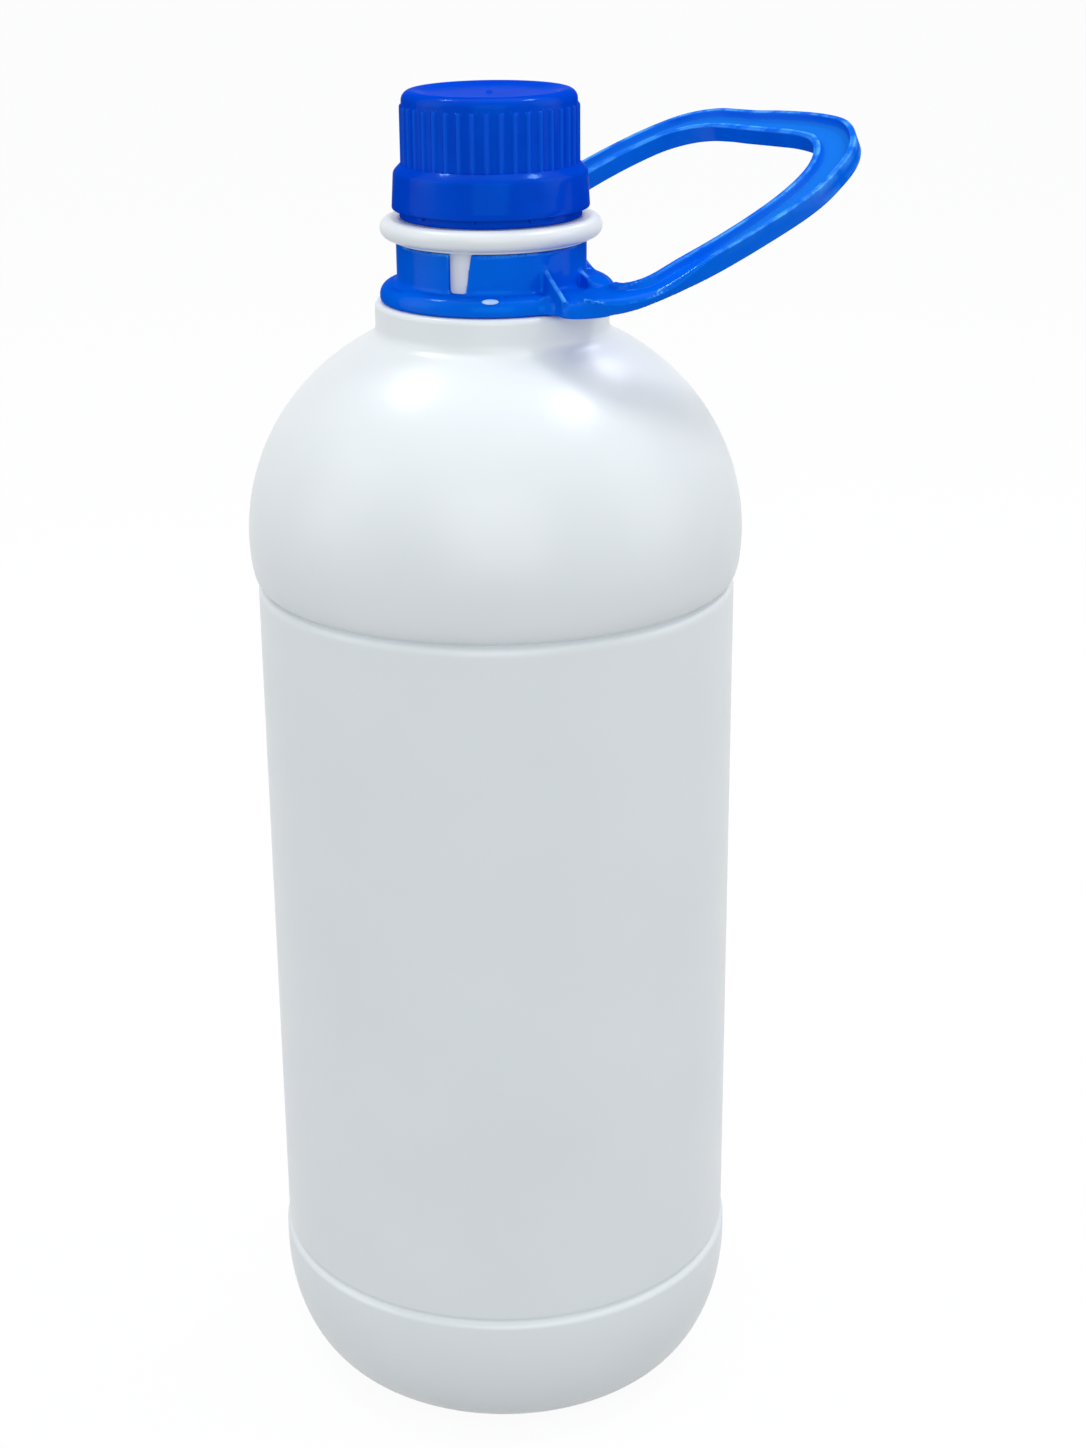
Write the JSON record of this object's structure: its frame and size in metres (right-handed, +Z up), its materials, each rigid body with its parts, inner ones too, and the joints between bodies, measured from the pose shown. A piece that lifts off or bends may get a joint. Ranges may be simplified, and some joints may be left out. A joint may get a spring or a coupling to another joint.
{
  "type": "screw cap bottle with carry handle",
  "caption": "Tall round blow-moulded bottle with a domed shoulder, a ribbed screw cap over a tamper ring, and a moulded loop handle that swivels round its neck.",
  "frame": {"origin": "on the bottle's axis, in the plane that it stands on", "axes": "+Z up the bottle's axis, +X from the neck towards the handle's grip bar, +Y to the left of +X seen from above"},
  "size_m": [0.1429, 0.1178, 0.3249],
  "materials": {
    "bottle": "blown white polyethylene, soft gloss",
    "handle": "moulded blue polyethylene, satin gloss",
    "cap": "moulded deep blue polypropylene, satin gloss",
    "liner": "foamed white polyethylene, matt"
  },
  "bodies": {
    "bottle": {"bottle": "bottle", "tamper_ring": "cap"},
    "handle": {"handle": "handle"},
    "liner": {"cap_liner": "liner"},
    "cap": {"cap": "cap"}
  },
  "joints": [
    {"name": "handle_swivel", "type": "hinge", "parent": "bottle", "child": "handle", "pos_m": [0, 0, 0.2844], "axis": [0, 0, 1], "continuous": true},
    {"name": "cap_lift", "type": "slide", "parent": "bottle", "child": "liner", "axis": [0, 0, 1], "range_m": [0, 0.0061]},
    {"name": "cap_turn", "type": "hinge", "parent": "liner", "child": "cap", "pos_m": [0, 0, 0.31], "axis": [0, 0, 1], "range_deg": [0, 540]}
  ],
  "couplings": [
    {"joint": "cap_lift", "follows": "cap_turn", "m_per_rad": 0.00063662}
  ]
}
